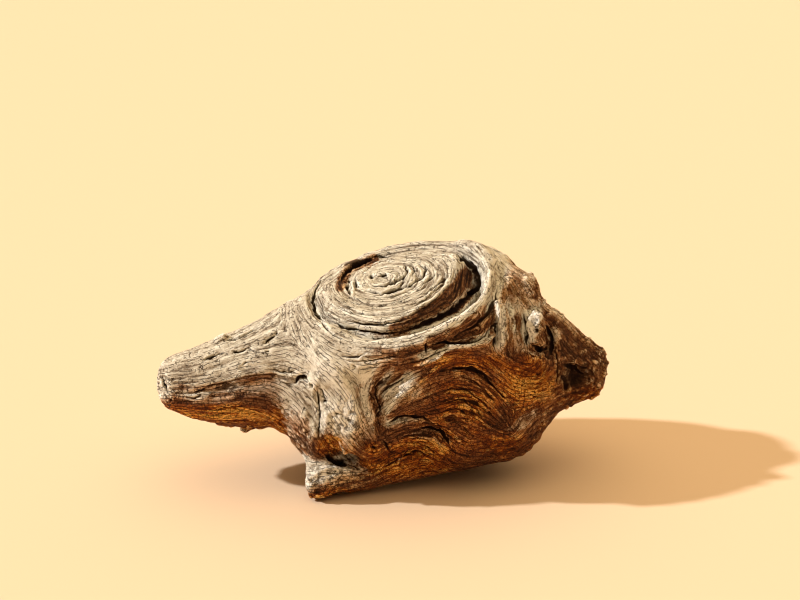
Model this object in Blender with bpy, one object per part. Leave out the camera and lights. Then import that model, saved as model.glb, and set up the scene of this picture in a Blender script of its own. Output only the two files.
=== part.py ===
"""A gnarled, weathered piece of olive wood, lying the way it rests on a table.

It is one grown piece, so it is one solid: a stump with a healed, spiralling knot on top, a branch
stub to the left, a broken stub to the right, and a low foot under a cleft in front.
The wood is modelled in millimetres from overlapping masses, which are fused and smoothed.
Then its rings, folds, clefts and furrows are raised from that surface by formulas.
+X is along the piece, +Y is away from its front, and the three low spots stand on z = 0.
"""

import math

import bmesh
import bpy
import numpy as np
from mathutils import Euler, Matrix, Vector

# Driving sizes, in millimetres
METRES = 0.001
BODY_VOXEL = 2.4
BODY_SMOOTHING = 6
CREASE_FILLING = 70
DETAIL_VOXEL = 1.5
TRIANGLES = 11400
SHORTEST_EDGE = 0.12

# The knot on top: its middle, the way it faces, the radius of its disc and how far that is domed
KNOT_CENTRE = np.array([8.0, -3.0, 106.0])
KNOT_FACING = np.array([-0.15, -0.2, 1.0])
KNOT_RADIUS = 46.0
KNOT_DOME = 7.0
KNOT_EYE = np.array([-9.0, 9.0])
RING_PITCH = 6.4
RING_HEIGHT = 1.3

# The cleft round the knot, as angle from its right side, radius, width and depth
KNOT_CLEFT = [(-180, 48, 2.6, 6.0), (-150, 47, 2.4, 6.0), (-128, 44, 2.2, 4.0), (-100, 44, 2.6, 6.5),
              (-70, 42.5, 4.2, 9.5), (-40, 43.5, 5.4, 11.5), (-15, 45.5, 5.4, 11.5), (10, 47.5, 4.4, 9.0),
              (35, 48.5, 2.6, 4.0), (60, 48, 2.2, 1.0), (95, 48.5, 2.2, 1.2), (125, 52.5, 2.0, 1.2),
              (150, 50, 2.2, 2.0), (165, 48.5, 2.6, 5.0), (180, 48, 2.6, 6.0)]

# The side wall of the disc, which falls to the cleft: as angle, radius of its upper edge and drop
KNOT_WALL = [(-180, 44, 0.0), (-105, 40, 0.0), (-82, 37, 3.0), (-63, 33, 6.0), (-43, 30, 8.0),
             (-21, 29, 8.5), (-4, 31, 7.5), (12, 37, 5.5), (30, 42, 3.0), (52, 46, 0.0), (180, 44, 0.0)]

# The swollen rim outside that cleft, as angle and height
KNOT_RIM = [(-180, 0.5), (-120, 1.5), (-60, 3.0), (0, 4.0), (45, 4.0), (90, 0.5), (140, 1.0), (180, 0.5)]

# The stump below the knot: its middle, and its profile as (height above that middle, radius)
CROWN_CENTRE = np.array([13.0, 0.0, 104.5])
CROWN_PROFILE = [(-70, 30), (-52, 50), (-30, 60), (-12, 61), (-3, 60), (2, 56), (3, 48), (2, 0)]

# Round masses of the stump, as middle, radii and turn in degrees
MASSES = {
    "heart": ((16, 0, 54), (66, 54, 48), (0, 0, 0)),
    "belly": ((44, -12, 39), (50, 42, 37), (0, -6, 0)),
    "hip": ((67, -10, 34), (34, 38, 28), (0, -18, 0)),
    "back": ((8, 26, 54), (58, 38, 46), (0, 0, 0)),
    "brow": ((-20, -24, 62), (40, 34, 40), (0, 15, 0)),
    "muzzle": ((-20, -38, 42), (36.5, 25, 32), (0, 15, 0)),
    "nape": ((56.5, 23, 107), (25.5, 26, 18), (0, 8, 0)),
}

# Limbs, as points along their middle with a radius at each
LIMBS = {
    "branch": [(-119, -21, 56.5, 17.5), (-106, -20, 56.5, 22), (-90, -19, 57.5, 26.5), (-68, -16, 59, 32.5),
               (-45, -8, 63, 38), (-20, 0, 68, 42)],
    "shoulder": [(50, 12, 96, 22), (72, 10, 99, 19), (89, 9, 96, 16)],
    "stub": [(60, 4, 64, 46), (88, 4, 60, 38), (106, 3, 57, 27), (131, 1, 54, 13.5)],
    "foot": [(-36.5, -52, 11, 13), (-18, -45, 12, 12.5), (12, -36, 16, 14), (44, -26, 26, 20)],
    "heel": [(52, 8, 15, 18), (44, 2, 30, 24)],
    "back_foot": [(-22, 40, 14, 17), (-12, 32, 30, 28)],
}

# The front is worked on a drawing: the piece seen from this place, looking down by this angle.
# A drawing unit is 0.58 mm at the middle of the piece; x runs right and y runs down.
DRAWING_EYE = np.array([10.8, -1024.3, 472.8])
DRAWING_TILT = math.radians(20)
DRAWING_SCALE = 1888.9
DRAWING_MIDDLE = np.array([400.0, 300.0])

# Clefts and cracks in the front: half width in drawing units, depth in millimetres, and the line
FRONT_CLEFTS = {
    "mouth": (9.0, 15.0, [(324, 456), (338, 461), (352, 464), (364, 470)]),
    "roof of the mouth": (11.0, 5.0, [(326, 440), (334, 450)]),
    "neck crack": (4.0, 4.5, [(318, 384), (319, 400), (318, 420), (319, 444)]),
    "throat": (7.0, 3.0, [(305, 398), (311, 412), (310, 432)]),
    "upper pit": (4.0, 4.0, [(296, 382), (302, 378), (307, 381)]),
    "cheek furrow": (7.0, 4.0, [(392, 366), (380, 382), (376, 398), (382, 416), (385, 446)]),
    "cheek side furrow": (5.0, 2.5, [(408, 372), (392, 386), (380, 398)]),
    "forehead furrow": (4.0, 1.6, [(367, 380), (362, 392), (363, 402)]),
    "brow of the side knot": (5.5, 3.5, [(386, 421), (400, 417), (416, 417), (428, 421)]),
    "lid of the side knot": (5.0, 4.0, [(420, 428), (435, 428), (444, 435), (450, 447)]),
    "arc of the side knot": (3.5, 2.0, [(400, 441), (415, 444), (428, 448), (438, 455)]),
    "heart of the side knot": (5.0, 2.2, [(404, 456), (418, 455), (432, 461)]),
    "chin pit": (4.0, 3.0, [(372, 446), (376, 450)]),
    "outer swirl": (5.5, 3.0, [(440, 371), (460, 367), (478, 371), (490, 383), (500, 397)]),
    "middle swirl": (4.0, 1.8, [(438, 392), (456, 386), (472, 391), (486, 405), (496, 420)]),
    "inner swirl": (4.0, 1.6, [(440, 411), (455, 408), (470, 413), (482, 425)]),
    "fold under the rim": (9.0, 4.5, [(500, 272), (495, 296), (483, 318), (462, 331), (436, 339)]),
    "lip cleft": (4.5, 5.0, [(494, 318), (484, 332), (466, 340), (446, 344), (430, 346), (418, 353)]),
    "tongue crevice": (3.5, 6.5, [(496, 322), (494, 346)]),
    "left of the knob": (4.0, 6.0, [(524, 316), (524, 332), (527, 346)]),
    "right of the knob": (6.5, 10.0, [(549, 325), (553, 338), (552, 354)]),
    "under the knob": (5.5, 8.0, [(533, 348), (545, 351)]),
    "knob hole": (2.5, 3.5, [(536, 330), (537, 332)]),
    "recess of the knot": (8.0, 5.5, [(350, 291), (347, 282), (351, 273), (362, 266), (378, 260), (394, 257)]),
    "stub hollow": (15.0, 8.0, [(570, 368), (582, 374), (570, 388)]),
    "fold above the stub": (6.0, 3.0, [(520, 292), (540, 318), (560, 330)]),
    "cheek hollow": (20.0, 3.5, [(515, 380), (545, 372)]),
    "branch crack": (4.0, 3.0, [(206, 359), (222, 353), (238, 351), (254, 350)]),
    "upper branch crack": (3.5, 2.0, [(222, 341), (242, 337), (262, 326)]),
    "branch pit": (4.0, 3.0, [(262, 345), (270, 338), (277, 333)]),
    "fork crack": (3.5, 1.8, [(272, 366), (286, 372), (298, 367)]),
    "lower branch crack": (4.5, 1.8, [(182, 394), (200, 393), (232, 383)]),
    "tip crack": (3.5, 4.0, [(162, 376), (166, 396)]),
}

# Raised folds, lips and knobs of the front: half width, height, and the line
FRONT_RIDGES = {
    "lower lip": (3.5, 2.6, [(497, 330), (490, 339), (470, 348), (450, 349), (432, 356), (416, 364)]),
    "tongue": (9.0, 4.0, [(500, 304), (504, 322), (506, 340), (505, 350)]),
    "knob": (9.5, 8.5, [(535, 320), (535, 334)]),
    "chin": (13.0, 3.0, [(368, 444), (372, 448)]),
    "ridge down the forehead": (12.0, 2.2, [(318, 352), (338, 376), (352, 398), (356, 420), (352, 446)]),
    "ridge beside the cheek": (9.0, 2.4, [(432, 372), (412, 384), (398, 398), (390, 410)]),
    "roll over the side knot": (7.0, 2.2, [(400, 428), (420, 437), (438, 441), (446, 456)]),
    "jaw": (8.0, 1.8, [(322, 474), (345, 474), (372, 470), (410, 458)]),
    "fold over the stub": (7.0, 2.5, [(545, 308), (565, 325), (590, 345)]),
}

# Folds of the back and the underside: half width and height in millimetres, and the line in space
BACK_FOLDS = {
    "long cleft": (6.0, -6.0, [(-70, 20, 72), (-30, 48, 70), (15, 62, 58), (60, 48, 50), (100, 28, 62)]),
    "roll over it": (10.0, 4.0, [(-50, 34, 84), (0, 58, 80), (50, 50, 78), (84, 30, 80)]),
    "low cleft": (6.0, -5.0, [(-40, 36, 44), (0, 56, 34), (46, 46, 26), (84, 26, 34)]),
    "dead knot": (12.0, 5.0, [(30, 60, 44), (32, 62, 42)]),
    "hole of the dead knot": (5.0, -6.0, [(30, 66, 44), (32, 66, 42)]),
    "belly cleft": (6.0, -5.0, [(-6, -26, 4), (20, -6, 4), (30, 30, 14)]),
    "branch furrow": (6.0, -3.0, [(-112, 0, 56), (-84, 8, 56), (-56, 20, 52)]),
}

# Directions of the grain on the drawing: place, and degrees above the drawing's x
GRAIN_STROKES = [
    (170, 380, 6), (200, 380, 12), (200, 412, -4), (230, 350, 24), (240, 400, 5), (235, 375, 18),
    (260, 330, 28), (270, 422, -20), (280, 350, 15), (265, 362, 5), (284, 376, -15), (290, 400, -50),
    (302, 422, -62), (285, 430, -30), (304, 300, 97), (300, 325, -82), (312, 345, -50), (325, 365, -48),
    (340, 350, -36), (345, 385, -45), (355, 402, -58), (330, 402, -45), (370, 350, -8), (360, 336, -12),
    (400, 345, 6), (430, 355, 20), (380, 366, 20), (352, 418, -62), (364, 402, 76), (375, 390, 56),
    (390, 380, 42), (400, 370, 36), (410, 395, 30), (420, 382, 28), (400, 407, 24), (350, 428, -35),
    (330, 430, -70), (360, 446, -42), (376, 430, -80), (330, 480, 6), (350, 490, 14), (400, 468, 26),
    (385, 452, 30), (440, 375, 15), (460, 368, 0), (480, 375, -32), (495, 390, -50), (502, 412, -62),
    (440, 400, 30), (460, 392, 4), (480, 402, -36), (450, 414, 20), (470, 417, -22), (490, 432, -30),
    (520, 422, 60), (540, 412, 36), (500, 446, 12), (470, 458, 8), (520, 380, -25), (530, 397, 0),
    (545, 372, 60), (560, 350, -62), (580, 350, -36), (592, 370, -42), (575, 395, 20), (510, 330, 86),
    (518, 300, 76), (525, 285, -30), (540, 300, -50), (552, 316, -44), (550, 400, 16), (404, 433, 12),
    (420, 423, 4), (440, 432, -42), (449, 446, -62), (405, 445, 20), (430, 446, -22),
]
STROKE_REACH = 17.0

# Furrows along the grain
FURROW_SPACING = 4.6
FURROW_DEPTH = 2.0
TRACE_STEP = 1.6
TRACE_STEPS = 8


def unit(vector):
    """The same direction at length 1, also for an array of vectors."""
    vector = np.asarray(vector, float)
    return vector / np.maximum(np.linalg.norm(vector, axis=-1, keepdims=True), 1e-9)


def ease(low, high, value):
    """0 below low, 1 above high, and a smooth step between them."""
    step = np.clip((value - low) / (high - low), 0.0, 1.0)
    return step * step * (3.0 - 2.0 * step)


def knot_axes():
    """The knot's own directions: to its right, to its back, and out of the wood."""
    out = unit(KNOT_FACING)
    back = unit(np.cross(out, [1.0, 0.0, 0.0]))
    return np.cross(back, out), back, out


def linked(name, mesh):
    """A new object in the scene."""
    made = bpy.data.objects.new(name, mesh)
    bpy.context.scene.collection.objects.link(made)
    return made


def evaluated_mesh(obj):
    """The mesh that an object has once its modifiers are applied."""
    bpy.context.view_layer.update()
    graph = bpy.context.evaluated_depsgraph_get()
    return bpy.data.meshes.new_from_object(obj.evaluated_get(graph))


def round_mass(centre, radii, turn):
    """A closed ellipsoid."""
    bpy.ops.mesh.primitive_ico_sphere_add(subdivisions=4, radius=1.0)
    made = bpy.context.object
    angles = Euler([math.radians(a) for a in turn]).to_matrix().to_4x4()
    made.data.transform(Matrix.Translation(centre) @ angles @ Matrix.Diagonal((*radii, 1.0)))
    return made


def limb(points):
    """A round limb through points, each with its own radius, closed at its first end by a ball."""
    curve = bpy.data.curves.new("limb", "CURVE")
    curve.dimensions = "3D"
    curve.bevel_depth = 1.0
    curve.bevel_resolution = 6
    curve.use_fill_caps = True
    spline = curve.splines.new("POLY")
    spline.points.add(len(points) - 1)
    for point, (x, y, z, radius) in zip(spline.points, points):
        point.co = (x, y, z, 1.0)
        point.radius = radius
    guide = linked("limb", curve)
    made = linked("limb", evaluated_mesh(guide))
    bpy.data.objects.remove(guide)
    x, y, z, radius = points[0]
    ball = round_mass((x, y, z), (radius * 0.6, radius, radius), (0, 0, 0))
    return [made, ball]


def crown():
    """The stump's top, turned round the knot's axis."""
    right, back, out = knot_axes()
    mesh = bpy.data.meshes.new("crown")
    base = CROWN_PROFILE[0][0]
    count = len(CROWN_PROFILE)
    mesh.from_pydata([(r, 0, h) for h, r in CROWN_PROFILE] + [(0, 0, base)],
                     [(i, i + 1) for i in range(count - 1)] + [(0, count)], [])
    made = linked("crown", mesh)
    turned = made.modifiers.new("turned", "SCREW")
    turned.steps = turned.render_steps = 64
    turned.use_merge_vertices = True
    turned.merge_threshold = 0.0001
    solid = linked("crown", evaluated_mesh(made))
    bpy.data.objects.remove(made)
    frame = Matrix((right, back, out)).transposed().to_4x4()
    solid.data.transform(Matrix.Translation(CROWN_CENTRE) @ frame)
    return solid


def remeshed(obj, voxel, smoothing):
    """A new object with even faces all over, a little smoothed."""
    remesh = obj.modifiers.new("fused", "REMESH")
    remesh.mode = "VOXEL"
    remesh.voxel_size = voxel
    smooth = obj.modifiers.new("softened", "SMOOTH")
    smooth.factor = 0.5
    smooth.iterations = smoothing
    made = linked(obj.name, evaluated_mesh(obj))
    bpy.data.objects.remove(obj)
    return made


def points_of(mesh):
    """The mesh's points as rows."""
    flat = np.empty(len(mesh.vertices) * 3)
    mesh.vertices.foreach_get("co", flat)
    return flat.reshape(-1, 3)


def set_points(mesh, points):
    mesh.vertices.foreach_set("co", points.ravel())
    mesh.update()


def normals_of(mesh):
    flat = np.empty(len(mesh.vertices) * 3)
    mesh.vertices.foreach_get("normal", flat)
    return flat.reshape(-1, 3)


def edges_of(mesh):
    flat = np.empty(len(mesh.edges) * 2, np.int64)
    mesh.edges.foreach_get("vertices", flat)
    return flat.reshape(-1, 2)


def neighbour_mean(edges, count, values):
    """For each point, the mean of its neighbours' values, which are rows."""
    ends = np.concatenate([edges, edges[:, ::-1]])
    total = np.stack([np.bincount(ends[:, 0], column[ends[:, 1]], count) for column in values.T], 1)
    return total / np.bincount(ends[:, 0], minlength=count)[:, None]


def fill_creases(mesh, rounds):
    """Webs the masses together: each point moves to its neighbours' mean, but only outwards."""
    edges = edges_of(mesh)
    for _ in range(rounds):
        points, normals = points_of(mesh), normals_of(mesh)
        step = neighbour_mean(edges, len(points), points) - points
        outward = np.sum(step * normals, 1) > 0
        set_points(mesh, points + step * np.where(outward, 0.9, 0.05)[:, None])


def body():
    """The stump with its limbs, before its surface is worked."""
    pieces = [crown()]
    pieces += [round_mass(*mass) for mass in MASSES.values()]
    for points in LIMBS.values():
        pieces += limb(points)
    bpy.ops.object.select_all(action="DESELECT")
    for piece in pieces:
        piece.select_set(True)
    bpy.context.view_layer.objects.active = pieces[0]
    bpy.ops.object.join()
    whole = remeshed(bpy.context.object, BODY_VOXEL, BODY_SMOOTHING)
    fill_creases(whole.data, CREASE_FILLING)
    return remeshed(whole, DETAIL_VOXEL, 8)


def drawn(points):
    """Where points show on the front drawing."""
    ahead = np.array([0.0, math.cos(DRAWING_TILT), -math.sin(DRAWING_TILT)])
    up = np.array([0.0, math.sin(DRAWING_TILT), math.cos(DRAWING_TILT)])
    seen = points - DRAWING_EYE
    size = DRAWING_SCALE / (seen @ ahead)
    return DRAWING_MIDDLE + np.stack([seen[:, 0] * size, -(seen @ up) * size], 1)


def facing_front(points, normals):
    """1 where the surface is turned to the eye of the front drawing, 0 where it is turned away."""
    return ease(0.02, 0.25, np.sum(normals * unit(DRAWING_EYE - points), 1))


def line_distance(places, line):
    """How far places are from a line of points, and how far along it, from 0 to 1."""
    line = np.asarray(line, float)
    nearest = np.full(len(places), 1e9)
    along = np.zeros(len(places))
    for index, (start, end) in enumerate(zip(line[:-1], line[1:])):
        run = end - start
        part = np.clip(((places - start) @ run) / (run @ run), 0.0, 1.0)
        distance = np.linalg.norm(places - start - part[:, None] * run, axis=1)
        closer = distance < nearest
        nearest = np.where(closer, distance, nearest)
        along = np.where(closer, (index + part) / (len(line) - 1), along)
    return nearest, along


def front_relief(points, normals):
    """Heights from the clefts and the ridges of the front."""
    places = drawn(points)
    height = np.zeros(len(points))
    for half_width, rise, line in FRONT_RIDGES.values():
        distance, along = line_distance(places, line)
        ends = 0.45 + 0.55 * ease(0, 0.25, np.minimum(along, 1 - along))
        height += rise * ends * (1 - ease(0.1, 1.0, distance / half_width))
    for half_width, depth, line in FRONT_CLEFTS.values():
        distance, along = line_distance(places, line)
        ends = 0.35 + 0.65 * ease(0, 0.3, np.minimum(along, 1 - along))
        height -= depth * ends * (1 - ease(0.0, 1.0, distance / half_width))
    return height * facing_front(points, normals)


def back_relief(points):
    """Heights from the folds of the back and the underside."""
    height = np.zeros(len(points))
    for half_width, rise, line in BACK_FOLDS.values():
        distance, along = line_distance(points, line)
        ends = 0.3 + 0.7 * ease(0, 0.2, np.minimum(along, 1 - along))
        height += rise * ends * (1 - ease(0.0, 1.0, distance / half_width))
    return height


def knot_polar(points):
    """Radius, angle in degrees and height of points in the knot's own frame."""
    right, back, out = knot_axes()
    away = points - KNOT_CENTRE
    x, y = away @ right, away @ back
    return np.hypot(x, y), np.degrees(np.arctan2(y, x)), away @ out


def ring_number(points):
    """0 at the knot's eye, which is off its middle, and 1 at the edge of its disc."""
    right, back, _ = knot_axes()
    away = points - KNOT_CENTRE
    from_eye = np.stack([away @ right, away @ back], 1) - KNOT_EYE
    spare = KNOT_RADIUS ** 2 - KNOT_EYE @ KNOT_EYE
    lean = from_eye @ KNOT_EYE
    return (lean + np.sqrt(lean ** 2 + spare * np.sum(from_eye ** 2, 1))) / spare


def knot_relief(points, normals):
    """Heights of the knot: its domed disc with spiral rings, the cleft round it and its rim."""
    radius, angle, level = knot_polar(points)
    _, _, out = knot_axes()
    height = KNOT_DOME * (1 - np.clip(radius / KNOT_RADIUS, 0, 1) ** 3)
    ring = ring_number(points)
    turn = ring * KNOT_RADIUS / RING_PITCH + angle / 360
    groove = 1 - np.abs(np.sin(math.pi * turn)) ** 0.7
    height -= 2 * RING_HEIGHT * groove * (1 - 0.7 * ease(0.5, 0.8, ring)) * (1 - ease(0.95, 1.0, ring))
    height -= 3.0 * np.exp(-(ring / 0.09) ** 2)
    rim_height = np.interp(angle, *zip(*KNOT_RIM))
    height += rim_height * np.exp(-((radius - 54.5) / 6.0) ** 2)
    cleft = np.array(KNOT_CLEFT, float).T
    middle, width, depth = (np.interp(angle, cleft[0], row) for row in cleft[1:])
    height -= depth * np.exp(-((radius - middle) / width) ** 4)
    wall = np.array(KNOT_WALL, float).T
    edge, drop = (np.interp(angle, wall[0], row) for row in wall[1:])
    height -= drop * ease(edge - 2, middle - 1, radius) * (1 - ease(middle, middle + width + 1, radius))
    return height * ease(0.25, 0.6, normals @ out) * ease(-30, -14, level)


def lattice_noise(points, spacing, seed):
    """Smooth noise from -1 to 1, the same each time for a seed."""
    table = np.random.default_rng(seed).uniform(-1, 1, 4096)
    cell = points / spacing
    corner = np.floor(cell).astype(np.int64)
    part = cell - corner
    part = part * part * (3 - 2 * part)
    total = np.zeros(len(points))
    for x in (0, 1):
        for y in (0, 1):
            for z in (0, 1):
                share = np.abs(1 - x - part[:, 0]) * np.abs(1 - y - part[:, 1]) * np.abs(1 - z - part[:, 2])
                at = corner + (x, y, z)
                pick = (at[:, 0] * 73856093) ^ (at[:, 1] * 19349663) ^ (at[:, 2] * 83492791)
                total += share * table[pick % 4096]
    return total


def front_grain(points):
    """The direction of the grain as the strokes on the drawing give it, in the drawing's plane."""
    strokes = np.array(GRAIN_STROKES, float)
    places = drawn(points)
    gap = places[:, None, :] - strokes[None, :, :2]
    weight = np.exp(-np.sum(gap ** 2, 2) / (2 * STROKE_REACH ** 2)) + 1e-9
    double = np.radians(2 * strokes[:, 2])
    angle = 0.5 * np.arctan2(weight @ np.sin(double), weight @ np.cos(double))
    up = np.array([0.0, math.sin(DRAWING_TILT), math.cos(DRAWING_TILT)])
    return np.cos(angle)[:, None] * np.array([1.0, 0, 0]) + np.sin(angle)[:, None] * up


def on_surface(direction, normals, slide):
    """A direction brought onto the surface by sliding it along another one."""
    across = np.sum(normals * slide, 1)
    across = np.where(np.abs(across) < 0.3, np.where(across < 0, -0.3, 0.3), across)
    moved = direction - (np.sum(direction * normals, 1) / across)[:, None] * slide
    return unit(moved - np.sum(moved * normals, 1)[:, None] * normals)


def blended(first, second, share):
    """Two directions mixed, whichever way either of them points."""
    agree = np.where(np.sum(first * second, 1) < 0, -1.0, 1.0)
    return unit(first * (1 - share)[:, None] + second * (agree * share)[:, None])


def grain(points, normals):
    """The direction of the grain on the surface."""
    _, _, out = knot_axes()
    ahead = np.array([0.0, math.cos(DRAWING_TILT), -math.sin(DRAWING_TILT)])
    along_back = np.stack([np.ones(len(points)), 0.2 * np.sin(points[:, 2] / 17),
                           0.25 * np.sin(points[:, 0] / 31 + 1)], 1)
    behind = on_surface(along_back, normals, normals)
    front = on_surface(front_grain(points), normals, ahead)
    flow = blended(behind, front, ease(-0.05, 0.25, -(normals @ ahead)))
    radius, _, level = knot_polar(points)
    around = on_surface(np.cross(out, points - KNOT_CENTRE), normals, normals)
    near_knot = (1 - ease(54, 66, radius)) * ease(-22, -8, level)
    return blended(flow, around, near_knot)


def furrows(points, normals):
    """Heights of furrows along the grain: noise is gathered along it from each point."""
    gathered = np.zeros(len(points))
    for way in (1, -1):
        place = points.copy()
        heading = way * grain(points, normals)
        for _ in range(TRACE_STEPS):
            place = place + heading * TRACE_STEP
            ahead = grain(place, normals)
            heading = ahead * np.where(np.sum(ahead * heading, 1) < 0, -1.0, 1.0)[:, None]
            gathered += lattice_noise(place, FURROW_SPACING, 7)
    gathered /= gathered.std()
    radius, _, level = knot_polar(points)
    on_disc = (1 - ease(40, 50, radius)) * ease(-10, 0, level)
    return -FURROW_DEPTH * ease(0.2, 1.8, gathered) * (1 - 0.6 * on_disc)


def clipped(mesh):
    """The mesh cut off flat at z = 0 and closed there."""
    cut = bmesh.new()
    cut.from_mesh(mesh)
    parts = cut.verts[:] + cut.edges[:] + cut.faces[:]
    bmesh.ops.bisect_plane(cut, geom=parts, dist=0.0001, plane_co=(0, 0, 0), plane_no=(0, 0, -1),
                           clear_outer=True)
    open_edges = [edge for edge in cut.edges if edge.is_boundary]
    bmesh.ops.holes_fill(cut, edges=open_edges, sides=0)
    bmesh.ops.remove_doubles(cut, verts=cut.verts[:], dist=SHORTEST_EDGE)
    bmesh.ops.triangulate(cut, faces=cut.faces[:])
    cut.to_mesh(mesh)
    cut.free()


def thinned(obj, triangles):
    """The object with about so many triangles, more of them where it is more folded."""
    thin = obj.modifiers.new("thinned", "DECIMATE")
    thin.ratio = triangles / sum(len(face.vertices) - 2 for face in obj.data.polygons)
    thin.use_collapse_triangulate = True
    made = linked(obj.name, evaluated_mesh(obj))
    bpy.data.objects.remove(obj)
    return made


def weathered_wood():
    """Plain grey-brown wood."""
    material = bpy.data.materials.new("weathered_wood")
    material.use_nodes = True
    shader = material.node_tree.nodes["Principled BSDF"]
    shader.inputs["Base Color"].default_value = (0.36, 0.26, 0.17, 1.0)
    shader.inputs["Roughness"].default_value = 0.85
    return material


def main():
    for obj in list(bpy.data.objects):
        bpy.data.objects.remove(obj)
    wood = body()
    points, normals = points_of(wood.data), normals_of(wood.data)
    height = knot_relief(points, normals)
    height += front_relief(points, normals)
    height += back_relief(points)
    height += furrows(points, normals)
    set_points(wood.data, points + normals * height[:, None])
    wood = thinned(remeshed(wood, DETAIL_VOXEL, 1), TRIANGLES)
    clipped(wood.data)
    points = points_of(wood.data)
    middle = (points.min(0) + points.max(0)) / 2
    wood.data.transform(Matrix.Scale(METRES, 4) @ Matrix.Translation((-middle[0], -middle[1], 0)))
    wood.data.shade_smooth()
    wood.data.materials.append(weathered_wood())
    wood.name = wood.data.name = "olive_wood"


main()
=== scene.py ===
"""The looks of the gnarled olive wood: its fine relief, its weathered colours with painted light and shade,
the light and the camera.

The surface starts as an even, fine copy of the CAD solid. Sharp clefts, grown rings, furrows along
the grain and rough bark are worked into it in millimetres, in the frame of the CAD's source.
The same values then colour it: crevices and shaded parts are darkened with painted shade, lit parts are
painted paler, and ridges are pale, partly bleached and partly a painted highlight.
"""

import itertools
import math

import bmesh
import bpy
import numpy as np
from mathutils import Matrix, Vector
from mathutils.kdtree import KDTree


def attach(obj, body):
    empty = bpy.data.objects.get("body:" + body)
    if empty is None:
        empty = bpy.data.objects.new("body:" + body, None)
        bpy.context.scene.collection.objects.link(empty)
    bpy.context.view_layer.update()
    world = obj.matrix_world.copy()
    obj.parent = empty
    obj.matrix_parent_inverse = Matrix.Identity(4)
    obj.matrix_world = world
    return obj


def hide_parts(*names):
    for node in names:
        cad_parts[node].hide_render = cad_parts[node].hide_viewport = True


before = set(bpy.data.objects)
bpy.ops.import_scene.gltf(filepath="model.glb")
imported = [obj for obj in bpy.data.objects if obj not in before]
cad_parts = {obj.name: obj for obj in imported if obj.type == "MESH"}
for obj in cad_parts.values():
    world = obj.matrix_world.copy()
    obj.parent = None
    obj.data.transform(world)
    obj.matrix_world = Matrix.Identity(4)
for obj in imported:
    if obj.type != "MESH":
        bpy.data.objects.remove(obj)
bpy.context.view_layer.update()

NODE = "olive_wood"
MM = 0.001

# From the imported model's origin to the origin that all the places below are measured from
PLACE = np.array([1.802, 0.397, 0.0])

# Fine surface: its grid in millimetres, and its triangles at the end
FINE_VOXEL = 0.62
MOST_TRIANGLES = 198000

# Rounds of smoothing: for the facets of the solid, for the surface's directions,
# and to find the small dips and the wide ones
FACET_SMOOTHING = 18
NORMAL_SMOOTHING = 4
NEAR_DIP = 5
WIDE_DIP = 70

# The knot: its middle, the way it faces, the radius of its disc, and its eye off its middle
KNOT_CENTRE = np.array([8.0, -3.0, 106.0])
KNOT_FACING = np.array([-0.15, -0.2, 1.0])
KNOT_RADIUS = 46.0
KNOT_EYE = np.array([-9.0, 9.0])
RING_PITCH = 3.1
RING_DEPTH = 0.55
RING_STRONG_SIDE = 15.0
# Where the grain stops following the rings: in ring numbers, outward in mm and upward in mm
LAST_RING = 1.4
RINGS_END = (54, 66)
RINGS_FLOOR = (-22, -8)

# The front drawing: the piece seen from this place, looking down by this angle.
# A drawing unit is 0.58 mm at the middle of the piece; x runs right and y runs down.
DRAWING_EYE = np.array([10.8, -1024.3, 472.8])
DRAWING_TILT = math.radians(20)
DRAWING_SCALE = 1888.9
DRAWING_MIDDLE = np.array([400.0, 300.0])

# Small twigs and points that stand out, as places along them with a radius at each,
# and how many balls fill the way from one place to the next
TWIG_BALLS = 7
TWIGS = {
    "twig stub": [(-69, -21, 39, 4.6), (-75, -22.5, 32.5, 3.6), (-79, -23, 29, 2.8)],
    "bump of the branch": [(-92, -20, 82, 4.0), (-89.5, -20, 85, 2.9)],
    "horn": [(84, 9, 106, 3.5), (87.5, 9, 110.5, 1.3)],
    "spur": [(125, 1, 57, 4.0), (130.5, 1, 55.5, 1.4)],
    "splinter of the end": [(-124, -26, 64, 3.0), (-127, -27, 61, 1.4)],
    "corner of the end": [(-121, -24, 69, 3.0), (-124, -25, 69.5, 1.5)],
}

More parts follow.
